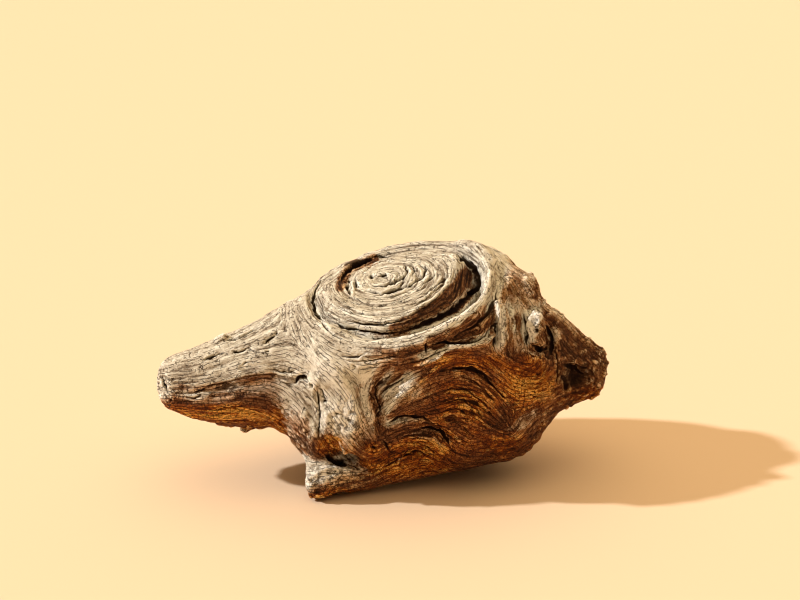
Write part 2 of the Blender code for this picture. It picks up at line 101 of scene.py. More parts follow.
# Sharp clefts and cracks of the front: half width in drawing units, depth in mm, and the line
CLEFTS = {
    "knot cleft left": (2.2, 3.5, [
        (321, 281), (316, 290), (313, 301), (316, 312), (321, 320), (329, 331), (341, 339)]),
    "knot cleft front": (2.0, 2.5, [(330, 321), (345, 328), (362, 332), (382, 334), (402, 333)]),
    "knot cleft right": (5.5, 4.0, [
        (400, 333), (420, 327), (440, 318), (456, 309), (470, 296), (478, 286), (478, 277)]),
    "knot cleft far right": (4.2, 4.0, [(478, 277), (474, 268), (467, 261), (458, 256)]),
    "inner front line": (2.2, 2.4, [(344, 321), (362, 324), (382, 324), (396, 321), (410, 318)]),
    "outer front line": (1.8, 1.6, [(383, 341), (400, 338), (418, 335)]),
    "band line": (1.5, 1.2, [(330, 306), (350, 312), (370, 315), (390, 314)]),
    "second band line": (1.1, 0.7, [(338, 298), (356, 304), (376, 306), (396, 303), (414, 296)]),
    "eye arc": (2.3, 2.4, [(404, 263), (407, 270), (403, 277), (395, 282), (384, 285), (366, 287)]),
    "second eye arc": (2.6, 2.8, [
        (418, 263), (426, 269), (422, 277), (411, 284), (398, 289), (380, 292), (366, 290)]),
    "third eye arc": (1.7, 1.6, [
        (432, 266), (434, 274), (425, 283), (410, 291), (392, 296), (372, 297)]),
    "eye side crack": (1.6, 1.8, [(411, 264), (414, 270), (411, 275)]),
    "eye inner arc": (1.3, 1.1, [(364, 281), (363, 272), (372, 265), (386, 261), (398, 264)]),
    "eye pit": (2.4, 2.4, [(369, 277), (375, 276)]),
    "eye second pit": (2.2, 1.8, [(381, 276), (387, 274)]),
    "recess": (5.0, 5.5, [(342, 280), (345, 272), (352, 267), (362, 262), (372, 259)]),
    "recess end": (1.6, 2.0, [(368, 259), (376, 256), (392, 258)]),
    "finger crack": (3.0, 6.0, [(349, 281), (347, 287), (350, 294)]),
    "second finger crack": (2.4, 4.0, [(354, 278), (356, 284), (358, 287)]),
    "right ring line": (1.9, 1.8, [(420, 297), (430, 290), (440, 281), (449, 275)]),
    "right second line": (1.3, 1.0, [(414, 307), (426, 298), (436, 289), (446, 283)]),
    "disc edge line": (1.4, 0.9, [(404, 318), (422, 309), (436, 298), (446, 286)]),
    "rim back line": (1.2, 0.8, [(462, 246), (472, 254), (476, 262)]),
    "rim right line": (1.3, 1.0, [(490, 252), (498, 260), (493, 270)]),
    "rim front crack": (1.4, 1.2, [(429, 331), (434, 327)]),
    "brow crack": (1.8, 1.5, [(343, 356), (352, 357), (358, 357), (364, 354)]),
    "brow second crack": (1.4, 1.1, [(344, 361), (362, 361), (380, 360), (392, 358), (402, 354)]),
    "brow chip": (1.4, 1.2, [(352, 364), (357, 368)]),
    "brow low crack": (1.2, 0.9, [(363, 368), (373, 368), (384, 362)]),
    "temple crack": (1.3, 1.0, [(307, 343), (311, 348)]),
    "temple second crack": (1.3, 1.0, [(321, 353), (328, 359)]),
    "upper pit": (2.4, 4.0, [(295, 383), (299, 378), (304, 377), (308, 381)]),
    "lower pit": (2.5, 4.0, [(311, 384), (312, 389)]),
    "neck crack": (1.5, 2.4, [(317, 388), (318, 400), (319, 412), (318, 428), (319, 441)]),
    "neck second crack": (1.6, 2.2, [(319, 388), (323, 397), (326, 402)]),
    "neck pit": (2.6, 2.6, [(322, 401), (327, 402)]),
    "star pit": (1.6, 1.6, [(335, 413), (341, 414)]),
    "muzzle crack": (1.3, 1.1, [(342, 417), (349, 421), (356, 427)]),
    "mouth": (6.5, 6.5, [(327, 456), (336, 461), (347, 464)]),
    "mouth line": (1.3, 1.4, [(347, 463), (356, 468), (363, 472)]),
    "cheek furrow": (1.7, 1.4, [
        (392, 374), (382, 380), (376, 388), (377, 400), (381, 410), (377, 418), (383, 430)]),
    "cheek second furrow": (2.2, 1.6, [(409, 374), (398, 382), (388, 388), (379, 396)]),
    "cheek third furrow": (1.8, 1.4, [(372, 384), (370, 392), (376, 402)]),
    "brow of the side knot": (2.2, 2.0, [(384, 424), (396, 418), (410, 416), (424, 418), (432, 423)]),
    "lid of the side knot": (2.2, 2.2, [(418, 429), (430, 427), (440, 430), (447, 439), (450, 448)]),
    "side knot corner": (3.0, 2.4, [(384, 440), (388, 447), (391, 452)]),
    "side knot arc": (1.5, 1.3, [(400, 443), (415, 443), (428, 448), (437, 455)]),
    "side knot second arc": (1.5, 1.2, [(398, 458), (408, 452), (420, 452), (430, 458)]),
    "side knot third arc": (1.3, 1.0, [(396, 438), (412, 436), (428, 440), (440, 450)]),
    "side knot heart": (2.2, 1.5, [(404, 455), (411, 454)]),
    "side knot second heart": (1.8, 1.5, [(424, 459), (429, 460)]),
    "chin pit": (2.6, 2.2, [(373, 447), (378, 449)]),
    "jaw line": (1.5, 1.1, [(372, 472), (390, 464), (404, 455)]),
    "outer swirl": (2.2, 1.6, [(440, 371), (458, 367), (472, 368), (484, 376), (492, 385), (502, 396)]),
    "second swirl": (1.5, 1.0, [(446, 382), (460, 377), (474, 381), (486, 391), (496, 404)]),
    "middle swirl": (1.7, 1.1, [(438, 396), (452, 388), (468, 391), (482, 402), (493, 417)]),
    "fourth swirl": (1.5, 1.0, [(436, 407), (450, 399), (464, 400), (477, 410), (486, 423)]),
    "inner swirl": (1.6, 1.0, [(436, 416), (448, 409), (460, 410), (472, 420)]),
    "side swirl": (1.6, 1.0, [(462, 424), (466, 430), (474, 436)]),
    "fold under the rim": (3.0, 2.0, [(500, 284), (494, 302), (486, 316), (472, 328), (456, 336)]),
    "second fold under the rim": (1.1, 0.6, [(488, 292), (476, 308), (460, 322), (444, 331)]),
    "lip cleft": (2.2, 3.5, [(493, 326), (486, 335), (472, 342), (458, 343), (444, 343), (432, 345)]),
    "second lip cleft": (2.0, 2.8, [(452, 349), (440, 352), (428, 358), (421, 361)]),
    "nose cleft": (2.6, 2.4, [(426, 344), (427, 352)]),
    "tongue crevice": (2.4, 4.0, [(496, 323), (495, 334), (494, 347)]),
    "left of the knob": (2.8, 4.0, [(524, 314), (525, 328), (527, 344)]),
    "right of the knob": (3.6, 4.0, [(547, 326), (551, 337), (551, 354)]),
    "under the knob": (3.4, 3.5, [(533, 346), (540, 351), (546, 348)]),
    "knob hole": (2.8, 5.0, [(536, 330), (538, 331)]),
    "knob right arc": (1.5, 1.8, [(540, 320), (544, 327), (542, 337)]),
    "knob left arc": (1.1, 1.0, [(529, 322), (530, 331), (534, 337)]),
    "stub hollow": (4.0, 2.5, [(563, 364), (574, 368), (582, 374)]),
    "stub low hollow": (4.0, 2.5, [(562, 374), (568, 384), (566, 392)]),
    "stub crack": (1.8, 1.8, [(556, 352), (559, 366), (558, 384)]),
    "cheek smile": (1.4, 1.1, [(526, 392), (536, 397), (546, 394)]),
    "stub edge crack": (1.6, 1.4, [(602, 358), (603, 364)]),
    "hip crack": (1.8, 1.4, [(534, 436), (541, 426), (546, 418)]),
    "branch crack": (1.5, 1.4, [(202, 361), (214, 356), (226, 352)]),
    "branch hole": (2.2, 2.6, [(232, 351), (238, 352), (245, 350)]),
    "branch hole end": (1.3, 1.2, [(246, 349), (254, 350)]),
    "branch pit": (1.8, 2.0, [(251, 358), (252, 359)]),
    "branch second pit": (1.6, 1.6, [(265, 352), (269, 351)]),
    "branch third crack": (1.6, 1.6, [(263, 344), (268, 340), (276, 334)]),
    "branch third pit": (2.0, 2.2, [(275, 334), (277, 332)]),
    "branch low crack": (1.5, 1.1, [(241, 366), (247, 362), (254, 361)]),
    "upper branch crack": (1.4, 1.4, [(224, 341), (238, 338), (250, 331), (262, 325)]),
    "far branch crack": (1.1, 0.8, [(262, 325), (274, 318)]),
    "fork crack": (1.5, 1.2, [(272, 367), (280, 372), (290, 373), (298, 368)]),
    "lower branch crack": (1.7, 1.2, [(182, 394), (192, 393), (206, 388), (220, 384), (236, 382)]),
    "red branch crack": (2.2, 1.4, [(184, 397), (194, 398), (202, 394)]),
    "branch under crack": (1.5, 1.1, [(210, 410), (232, 408), (256, 414)]),
    "branch under second crack": (1.5, 1.1, [(198, 414), (214, 416), (230, 413)]),
    "branch end": (2.2, 3.0, [(162, 377), (164, 384), (167, 393)]),
    "branch end hole": (2.2, 2.5, [(169, 401), (172, 401)]),
    "heel cracks": (1.6, 1.1, [(278, 404), (284, 412), (292, 420)]),
}

# Raised lips, splinters and rolls of the front: half width, height, and the line
RIDGES = {
    "upper lip": (1.6, 1.6, [(489, 328), (478, 336), (464, 340), (448, 342), (434, 346)]),
    "lower lip": (2.0, 3.2, [(494, 328), (491, 337), (481, 344), (466, 347), (452, 348), (440, 353)]),
    "nose lip": (2.0, 2.6, [(444, 353), (436, 358), (424, 362), (414, 366)]),
    "tongue edge": (3.8, 3.2, [(497, 304), (499, 316), (502, 330), (502, 344)]),
    "tongue roll": (2.6, 1.2, [(512, 306), (514, 322), (512, 346)]),
    "knob rim": (3.2, 3.4, [(531, 338), (530, 326), (535, 317), (543, 319)]),
    "knob chin": (3.2, 1.6, [(532, 341), (538, 342)]),
    "rim crest": (5.0, 1.0, [(492, 266), (486, 284), (472, 302), (452, 320), (428, 331)]),
    "cleft inner wall": (2.6, 1.0, [(455, 281), (446, 286), (434, 298), (418, 309), (400, 316)]),
    "bone roll": (3.0, 1.2, [(426, 378), (410, 388), (396, 398), (388, 408)]),
    "mouth lip": (2.2, 1.4, [(338, 442), (346, 454), (356, 464)]),
    "jaw edge": (3.4, 1.0, [(322, 470), (340, 468), (356, 472)]),
    "side knot roll": (2.6, 1.2, [(420, 437), (434, 438), (443, 446)]),
    "recess finger": (2.0, 1.8, [(353, 282), (353, 292)]),
}

# Zones of the front, each a round blot: place, reach across and down, and strength
ROUGH_ZONES = [
    (335, 480, 34, 14, 1.2), (375, 466, 22, 10, 0.6), (350, 424, 30, 22, 0.9), (388, 351, 36, 7, 0.8),
    (408, 388, 26, 14, 0.9), (506, 325, 9, 24, 0.9), (580, 365, 26, 34, 1.0), (230, 416, 50, 8, 0.5),
    (420, 452, 26, 12, 0.6), (535, 328, 9, 14, 0.9), (500, 445, 36, 18, 0.7), (312, 440, 12, 16, 0.6),
    (525, 290, 22, 24, 0.5), (545, 385, 26, 24, 0.5),
]
FURROWED_ZONES = [
    (465, 395, 44, 34, 0.9), (420, 435, 36, 24, 0.6), (530, 385, 34, 30, 0.6), (220, 380, 60, 26, 0.3),
    (520, 300, 24, 30, 0.6), (575, 350, 30, 26, 0.6), (385, 395, 20, 24, 0.5), (300, 410, 16, 30, 0.5),
]
# Paler zones: partly bleached wood, partly painted light where the key light falls.
BLEACHED_AND_LIT_ZONES = [
    (497, 322, 3, 22, 0.9), (436, 357, 16, 3, 1.0), (506, 325, 8, 26, 0.4), (532, 327, 7, 14, 1.6),
    (412, 390, 22, 12, 0.45), (330, 478, 32, 11, 0.45), (345, 420, 26, 24, 0.45),
    (486, 278, 17, 26, 0.9), (345, 380, 44, 36, 0.6), (452, 324, 22, 4, 0.7),
]
# Browner zones: partly browner wood, partly painted shade where the key light doesn't reach.
BROWN_AND_SHADED_ZONES = [
    (522, 285, 20, 24, 0.7), (578, 345, 30, 24, 0.9), (380, 351, 24, 6, 0.55), (302, 425, 9, 18, 0.4),
    (490, 322, 8, 14, 0.4), (466, 400, 40, 28, 0.8), (250, 393, 34, 9, 0.35), (376, 398, 9, 18, 0.35),
    (176, 402, 12, 7, 0.5), (340, 490, 30, 8, 0.3), (525, 325, 8, 26, 0.3), (576, 376, 20, 18, 1.5),
    (547, 322, 6, 14, 1.2), (548, 350, 14, 14, 0.8), (425, 442, 26, 14, 0.5), (512, 330, 5, 20, 0.3),
    (512, 284, 9, 14, 0.7),
]
# Orange zones: partly fresh wood, partly painted shade warmed by the floor's bounce light.
FRESH_AND_SHADED_ZONES = [
    (330, 446, 12, 9, 1.0), (215, 413, 60, 9, 1.0), (276, 427, 24, 8, 0.8), (530, 382, 32, 30, 0.9),
    (470, 362, 44, 10, 0.6), (462, 404, 44, 30, 0.7), (415, 450, 38, 13, 0.9), (390, 468, 52, 9, 0.8),
    (340, 495, 28, 6, 0.9), (500, 440, 32, 18, 0.5), (585, 392, 18, 8, 0.6), (370, 447, 7, 5, 1.0),
    (450, 310, 26, 8, 0.35), (470, 326, 28, 7, 0.3),
]
# Painted shade: darker blots where the front lies in shade, in hollows and under overhangs.
PAINTED_SHADE_ZONES = [
    (470, 395, 30, 26, 0.5), (574, 377, 17, 15, 1.5), (537, 331, 2.4, 2.4, 2.0), (552, 340, 6, 18, 0.9),
    (540, 350, 14, 7, 0.7), (480, 464, 60, 7, 0.5), (342, 461, 20, 5, 0.9), (380, 392, 8, 22, 0.4),
    (462, 360, 40, 8, 0.35), (400, 470, 50, 8, 0.35), (163, 385, 5, 14, 0.4), (388, 351, 30, 5, 0.3),
    (425, 440, 26, 18, 0.2),
]
# Painted light: paler blots where the front catches the light; below 0 it is painted shade.
PAINTED_LIGHT_ZONES = [
    (348, 366, 28, 24, 0.45), (532, 328, 8, 14, 0.7), (318, 362, 20, 16, 0.35), (505, 262, 18, 18, 0.3),
    (500, 322, 6, 24, 0.4), (468, 346, 30, 3, 0.8), (230, 414, 50, 8, 0.6), (330, 478, 30, 10, 1.0),
    (530, 388, 30, 20, 0.55), (425, 448, 26, 9, 0.4), (484, 278, 12, 26, 0.25),
    (190, 376, 34, 18, -0.2), (345, 422, 22, 24, 0.95), (415, 388, 20, 10, 0.5), (434, 358, 14, 3, 0.8),
    (432, 327, 30, 3, 0.25), (504, 325, 10, 24, 0.75), (400, 390, 26, 14, 0.55),
    (520, 290, 20, 24, 0.45), (400, 470, 60, 8, 0.35), (280, 430, 24, 10, 0.3), (545, 335, 20, 20, 0.2),
]
# Painted shade along lines, on walls and hollows that lie in shade: half width, how much browner and how much
# darker, and the line. Below 0 is paler: painted light on lit edges.
SHADE_AND_LIGHT_LINES = {
    "disc wall": (9, 1.8, 0.6, [
        (396, 328), (414, 320), (430, 311), (444, 301), (456, 289), (465, 275)]),
    "disc cleft": (4, 1.0, 1.2, [
        (420, 327), (440, 319), (457, 308), (470, 295), (478, 282), (474, 270)]),
    "rim inner edge": (5, -1.6, -0.6, [
        (416, 333), (436, 326), (455, 318), (471, 306), (483, 292), (487, 278)]),
    "recess": (7, 1.5, 0.3, [(341, 286), (343, 276), (350, 268), (362, 263), (374, 259)]),
    "recess shade": (3, 0.5, 1.2, [(346, 264), (356, 261), (368, 259)]),
    "under the rim": (6, 1.0, 0.4, [
        (505, 293), (498, 306), (485, 320), (467, 331), (446, 338), (428, 341)]),
    "above the lip": (4, 0.9, 0.3, [(434, 347), (446, 341), (464, 340), (480, 334), (489, 323)]),
    "below the lip": (4, 1.2, 0.0, [(424, 368), (440, 359), (456, 352), (474, 351), (490, 345)]),
    "lip": (1.8, -1.5, -0.8, [(441, 353), (452, 347), (466, 346), (481, 341), (493, 328)]),
    "cheek": (8, 0.5, 0.35, [(398, 376), (382, 384), (376, 396), (380, 412), (380, 430)]),
    "left of the tongue": (3, 1.0, 0.9, [(492, 306), (493, 322), (493, 345)]),
}

# Where the bark is ragged all the way round the outline
RAGGED_ZONES = [
    (592, 365, 26, 42, 1.0), (548, 298, 22, 24, 0.9), (528, 276, 14, 12, 0.6), (240, 428, 60, 10, 0.7),
    (312, 490, 22, 14, 0.8), (560, 408, 30, 18, 0.7), (164, 390, 10, 20, 0.8), (300, 440, 12, 16, 0.6),
    (560, 325, 20, 16, 0.5),
]

# Directions of the grain on the drawing: place, and degrees above the drawing's x
GRAIN_STROKES = [
    (170, 380, 6), (200, 380, 12), (200, 412, -4), (230, 350, 24), (240, 400, 5), (235, 375, 18),
    (260, 330, 28), (270, 422, -20), (280, 350, 15), (265, 362, 5), (284, 376, -15), (290, 400, -50),
    (302, 422, -62), (285, 430, -30), (304, 300, 97), (300, 325, -82), (312, 345, -50), (325, 365, -48),
    (340, 350, -36), (345, 385, -45), (355, 402, -58), (330, 402, -45), (370, 350, -8), (360, 336, -12),
    (400, 345, 6), (430, 355, 20), (380, 366, 20), (352, 418, -62), (364, 402, 76), (375, 390, 56),
    (390, 380, 42), (400, 370, 36), (410, 395, 30), (420, 382, 28), (400, 407, 24), (350, 428, -35),
    (330, 430, -70), (360, 446, -42), (376, 430, -80), (330, 480, 6), (350, 490, 14), (400, 468, 26),
    (385, 452, 30), (440, 375, 15), (460, 368, 0), (480, 375, -32), (495, 390, -50), (502, 412, -62),
    (440, 400, 30), (460, 392, 4), (480, 402, -36), (450, 414, 20), (470, 417, -22), (490, 432, -30),
    (520, 422, 60), (540, 412, 36), (500, 446, 12), (470, 458, 8), (520, 380, -25), (530, 397, 0),
    (545, 372, 60), (560, 350, -62), (580, 350, -36), (592, 370, -42), (575, 395, 20), (510, 330, 86),
    (518, 300, 76), (525, 285, -30), (540, 300, -50), (552, 316, -44), (550, 400, 16), (404, 433, 12),
    (420, 423, 4), (440, 432, -42), (449, 446, -62), (405, 445, 20), (430, 446, -22),
]
STROKE_REACH = 15.0
GRAIN_CELL = 4.0
GRAIN_FIELD = (140.0, 210.0, 640.0, 520.0)

# Furrows along the grain, in mm: how noise is gathered, its spacings, and the furrows' depths
TRACE_STEP = 0.9
TRACE_STEPS = 14
FINE_SPACING = 1.1
COARSE_SPACING = 2.7
FINE_DEPTH = 0.4
COARSE_DEPTH = 0.5
FURROWED_DEPTH = 0.9
# A direction slides onto the surface as if the slide met it at least this steeply, so that it never goes far
LEAST_STEEP = 0.3

# Pits, bark, flakes and swells, in mm. Rough wood has the rough ones besides.
PIT_DEPTH = 0.08
ROUGH_PIT_DEPTH = 0.8
BARK_HEIGHT = 0.1
ROUGH_BARK_HEIGHT = 0.6
RAGGED_HEIGHT = 0.6
FLAKE_HEIGHT = 1.6
SMALL_SWELL = 0.3
LARGE_SWELL = 0.45

# Noise: how many random values it draws on, and the primes that pick one for each corner of its lattice
NOISE_VALUES = 65536
NOISE_PRIMES = (73856093, 19349663, 83492791)

# The finest cracks, which the material draws along the grain and in a net across it:
# their spacings in metres, and their widths as shares of a spacing
LINE_SPACING = 0.0021
LINE_WIDTH = 0.11
NET_SPACING = 0.0025
NET_WIDTH = 0.075

# How high the material's bump seems to stand, in metres
BUMP_HEIGHT = 0.0007

# The wood's colours, each from its darkest tone to its palest, and the near-black colours of the painted
# shade deep in its crevices, which its finest cracks take too
PALE = [(0.05, (0.2, 0.16, 0.115)), (0.35, (0.46, 0.42, 0.345)), (0.6, (0.65, 0.635, 0.55)),
        (0.9, (0.85, 0.84, 0.77))]
TAN = [(0.05, (0.09, 0.045, 0.022)), (0.4, (0.34, 0.205, 0.12)), (0.62, (0.55, 0.39, 0.26)),
       (0.9, (0.8, 0.66, 0.49))]
BROWN = [(0.05, (0.035, 0.012, 0.004)), (0.4, (0.15, 0.058, 0.022)), (0.65, (0.31, 0.145, 0.06)),
         (0.92, (0.62, 0.4, 0.21))]
ORANGE = [(0.05, (0.035, 0.007, 0.001)), (0.4, (0.2, 0.047, 0.006)), (0.62, (0.45, 0.145, 0.015)),
          (0.88, (0.85, 0.46, 0.1))]
BROWN_SHADE_AND_CRACKS = (0.014, 0.004, 0.001, 1.0)
PALE_SHADE_AND_CRACKS = (0.028, 0.014, 0.006, 1.0)

# The floor, in metres
FLOOR_COLOUR = (0.775, 0.615, 0.455, 1.0)
FLOOR_RADIUS = 3.2
FLOOR_BEND = 0.8

# The key light, and the way that its light travels
KEY_TRAVEL = (0.819, -0.033, -0.562)
KEY_STRENGTH = 3.55
KEY_ANGLE = math.radians(2.2)
KEY_COLOUR = (1.0, 0.94, 0.88)

# The fill light: where it is brightest, the cosine from there at which it ends, and its two strengths,
# all round and at its brightest
SKY_COLOUR = (1.0, 0.7, 0.38, 1.0)
SKY_TOWARDS = (0.05, 0.45, 0.9)
SKY_EDGE = 0.2
SKY_DIM = 0.06
SKY_BRIGHT = 1.85

# The camera, in millimetres: its angle of view is the drawing's
CAMERA_LENS = 85.0
CAMERA_SENSOR = 36.0


def unit(vector):
    """The same direction at length 1, also for an array of vectors."""
    vector = np.asarray(vector, float)
    return vector / np.maximum(np.linalg.norm(vector, axis=-1, keepdims=True), 1e-9)


def ease(low, high, value):
    """0 below low, 1 above high, and a smooth step between them."""
    step = np.clip((value - low) / (high - low), 0.0, 1.0)
    return step * step * (3.0 - 2.0 * step)


KNOT_OUT = unit(KNOT_FACING)
KNOT_BACK = unit(np.cross(KNOT_OUT, [1.0, 0.0, 0.0]))
KNOT_RIGHT = np.cross(KNOT_BACK, KNOT_OUT)
DRAWING_AHEAD = np.array([0.0, math.cos(DRAWING_TILT), -math.sin(DRAWING_TILT)])
DRAWING_UP = np.array([0.0, math.sin(DRAWING_TILT), math.cos(DRAWING_TILT)])


def linked(name, data):
    """A new object in the scene."""
    made = bpy.data.objects.new(name, data)
    bpy.context.scene.collection.objects.link(made)
    return made


def evaluated_mesh(obj):
    """The mesh that an object has once its modifiers are applied."""
    bpy.context.view_layer.update()
    graph = bpy.context.evaluated_depsgraph_get()
    return bpy.data.meshes.new_from_object(obj.evaluated_get(graph))


def read(rows, name, width, kind=float):
    """One value of each vertex or edge of a mesh, as an array with a row for each."""
    flat = np.empty(len(rows) * width, kind)
    rows.foreach_get(name, flat)
    return flat.reshape(-1, width)


def set_points(mesh, points):
    mesh.vertices.foreach_set("co", points.ravel())
    mesh.update()


def on_floor(points):
    """The same points, with none of them below the floor."""
    return np.column_stack([points[:, :2], np.maximum(points[:, 2], 0)])


def spread(edges, values, rounds, share=0.5):
    """Values moved towards their neighbours' mean, over and over."""
    count = len(values)
    ends = np.concatenate([edges, edges[:, ::-1]])
    degree = np.maximum(np.bincount(ends[:, 0], minlength=count), 1)[:, None]
    for _ in range(rounds):
        total = np.stack([np.bincount(ends[:, 0], column[ends[:, 1]], count) for column in values.T], 1)
        values = values + share * (total / degree - values)
    return values


def drawn(points):
    """Where points show on the front drawing."""
    seen = points - DRAWING_EYE
    size = DRAWING_SCALE / (seen @ DRAWING_AHEAD)
    return DRAWING_MIDDLE + np.stack([seen[:, 0] * size, -(seen @ DRAWING_UP) * size], 1)


def line_distance(places, line):
    """How far places are from a line of points, and how far along it, from 0 to 1."""
    line = np.asarray(line, float)
    nearest = np.full(len(places), 1e9)
    along = np.zeros(len(places))
    for index, (start, end) in enumerate(zip(line[:-1], line[1:])):
        run = end - start
        part = np.clip(((places - start) @ run) / (run @ run), 0.0, 1.0)
        distance = np.linalg.norm(places - start - part[:, None] * run, axis=1)
        closer = distance < nearest
        nearest = np.where(closer, distance, nearest)
        along = np.where(closer, (index + part) / (len(line) - 1), along)
    return nearest, along


def blots(places, zones):
    """The sum of soft round zones on the drawing."""
    total = np.zeros(len(places))
    for x, y, across, down, strength in zones:
        gap = ((places[:, 0] - x) / across) ** 2 + ((places[:, 1] - y) / down) ** 2
        total += strength * np.exp(-gap)
    return total


def painted_shade_and_light(places):
    """How much browner and how much darker the lines of painted shade make each place, and how much paler
    where they paint light.
    """
    browner, darker = np.zeros(len(places)), np.zeros(len(places))
    for half_width, brown, painted_shade, line in SHADE_AND_LIGHT_LINES.values():
        distance, _ = line_distance(places, line)
        share = 1 - ease(0.35, 1.0, distance / half_width)
        browner += brown * share
        darker += painted_shade * share
    return browner, darker


def lattice_noise(points, spacing, seed):
    """Smooth noise from -1 to 1, the same each time for a seed."""
    table = np.random.default_rng(seed).uniform(-1, 1, NOISE_VALUES)
    cell = points / spacing
    corner = np.floor(cell).astype(np.int64)
    part = cell - corner
    part = part * part * (3 - 2 * part)
    shares = (1 - part, part)
    total = np.zeros(len(points))
    for step in itertools.product((0, 1), repeat=3):
        share = shares[step[0]][:, 0] * shares[step[1]][:, 1] * shares[step[2]][:, 2]
        x, y, z = ((corner + step) * NOISE_PRIMES).T
        total += share * table[(x ^ y ^ z) % NOISE_VALUES]
    return total


def noise_pair(points, spacing, seed):
    """Two such noises side by side, to shift a place on the drawing by."""
    return np.stack([lattice_noise(points, spacing, seed), lattice_noise(points, spacing, seed + 1)], 1)


def grain_field():
    """The grain of the drawing on an even net of places, as cosine and sine of twice its angle."""
    left, top, right, bottom = GRAIN_FIELD
    x, y = np.meshgrid(np.arange(left, right, GRAIN_CELL), np.arange(top, bottom, GRAIN_CELL))
    strokes = np.array(GRAIN_STROKES, float)
    gap = np.stack([x, y], -1)[:, :, None, :] - strokes[:, :2]
    weight = np.exp(-np.sum(gap ** 2, -1) / (2 * STROKE_REACH ** 2)) + 1e-9
    double = np.radians(2 * strokes[:, 2])
    return np.stack([weight @ np.cos(double), weight @ np.sin(double)], -1) / weight.sum(-1)[..., None]


def front_grain(points, field):
    """The direction of the grain as the drawing gives it, in the drawing's plane."""
    rows, columns = field.shape[:2]
    place = (drawn(points) - GRAIN_FIELD[:2]) / GRAIN_CELL
    place = np.clip(place, 0, (columns - 1.001, rows - 1.001))
    corner = place.astype(int)
    part = place - corner
    x, y = corner[:, 0], corner[:, 1]
    right, down = part[:, :1], part[:, 1:]
    upper = field[y, x] * (1 - right) + field[y, x + 1] * right
    lower = field[y + 1, x] * (1 - right) + field[y + 1, x + 1] * right
    double = upper * (1 - down) + lower * down
    angle = 0.5 * np.arctan2(double[:, 1], double[:, 0])
    return np.cos(angle)[:, None] * np.array([1.0, 0, 0]) + np.sin(angle)[:, None] * DRAWING_UP


def on_surface(direction, normals, slide):
    """A direction brought onto the surface by sliding it along another one."""
    steep = np.sum(normals * slide, 1)
    least = np.where(steep < 0, -LEAST_STEEP, LEAST_STEEP)
    steep = np.where(np.abs(steep) < LEAST_STEEP, least, steep)
    moved = direction - (np.sum(direction * normals, 1) / steep)[:, None] * slide
    return unit(moved - np.sum(moved * normals, 1)[:, None] * normals)


def blended(first, second, share):
    """Two directions mixed, whichever way either of them points."""
    agree = np.where(np.sum(first * second, 1) < 0, -1.0, 1.0)
    return unit(first * (1 - share)[:, None] + second * (agree * share)[:, None])


def knot_polar(points):
    """Radius, angle in degrees and height of points in the knot's own frame."""
    away = points - KNOT_CENTRE
    x, y = away @ KNOT_RIGHT, away @ KNOT_BACK
    return np.hypot(x, y), np.degrees(np.arctan2(y, x)), away @ KNOT_OUT


def ring_number(points):
    """0 at the knot's eye, which is off its middle, and 1 at the edge of its disc."""
    away = points - KNOT_CENTRE
    from_eye = np.stack([away @ KNOT_RIGHT, away @ KNOT_BACK], 1) - KNOT_EYE
    spare = KNOT_RADIUS ** 2 - KNOT_EYE @ KNOT_EYE
    lean = from_eye @ KNOT_EYE
    return (lean + np.sqrt(lean ** 2 + spare * np.sum(from_eye ** 2, 1))) / spare


def around_eye(points):
    """The direction of the knot's rings at points: level round the middle of the ring there."""
    ring = np.clip(ring_number(points), 0, LAST_RING)
    shift = (1 - ring)[:, None] * (KNOT_EYE[0] * KNOT_RIGHT + KNOT_EYE[1] * KNOT_BACK)
    return np.cross(KNOT_OUT, points - KNOT_CENTRE - shift)


def grain(points, normals, field):
    """The direction of the grain on the surface: drawn in front, lengthwise behind, round the knot on top."""
    along_back = np.stack([np.ones(len(points)), 0.2 * np.sin(points[:, 2] / 17),
                           0.25 * np.sin(points[:, 0] / 31 + 1)], 1)
    behind = on_surface(along_back, normals, normals)
    front = on_surface(front_grain(points, field), normals, DRAWING_AHEAD)
    flow = blended(behind, front, ease(-0.05, 0.25, -(normals @ DRAWING_AHEAD)))
    radius, _, level = knot_polar(points)
    rings = on_surface(around_eye(points), normals, normals)
    return blended(flow, rings, (1 - ease(*RINGS_END, radius)) * ease(*RINGS_FLOOR, level))


def gathered_noise(points, normals, field, spacings):
    """Noise of each spacing gathered along the grain, which draws it out into streaks."""
    totals = [np.zeros(len(points)) for _ in spacings]
    for way in (1, -1):
        place = points.copy()
        heading = way * grain(points, normals, field)
        for _ in range(TRACE_STEPS):
            place = place + heading * TRACE_STEP
            ahead = grain(place, normals, field)
            heading = ahead * np.where(np.sum(ahead * heading, 1) < 0, -1.0, 1.0)[:, None]
            for index, spacing in enumerate(spacings):
                totals[index] += lattice_noise(place, spacing, seed=11 + index)
    return [total / total.std() for total in totals]


def front_relief(points, normals):
    """Heights of the sharp lips of the front, and how deep in a cleft each point is."""
    facing = ease(0.02, 0.2, -(normals @ DRAWING_AHEAD))
    wander = noise_pair(points, 6.0, seed=31) + 0.7 * noise_pair(points, 2.0, seed=33)
    places = drawn(points) + wander
    broken = 0.8 + 0.45 * lattice_noise(points, 3.2, seed=35)
    height = np.zeros(len(points))
    for half_width, rise, line in RIDGES.values():
        distance, along = line_distance(places, line)
        ends = 0.3 + 0.7 * ease(0, 0.25, np.minimum(along, 1 - along))
        height += rise * ends * (1 - ease(0.0, 1.0, distance / half_width))
    depth = np.zeros(len(points))
    for half_width, deep, line in CLEFTS.values():
        distance, along = line_distance(places, line)
        ends = 0.3 + 0.7 * ease(0, 0.3, np.minimum(along, 1 - along))
        width = half_width * (0.5 + 0.5 * ends) * broken
        depth = np.maximum(depth, deep * ends * (1 - ease(0.1, 1.0, distance / width)))
    return height * facing, depth * facing


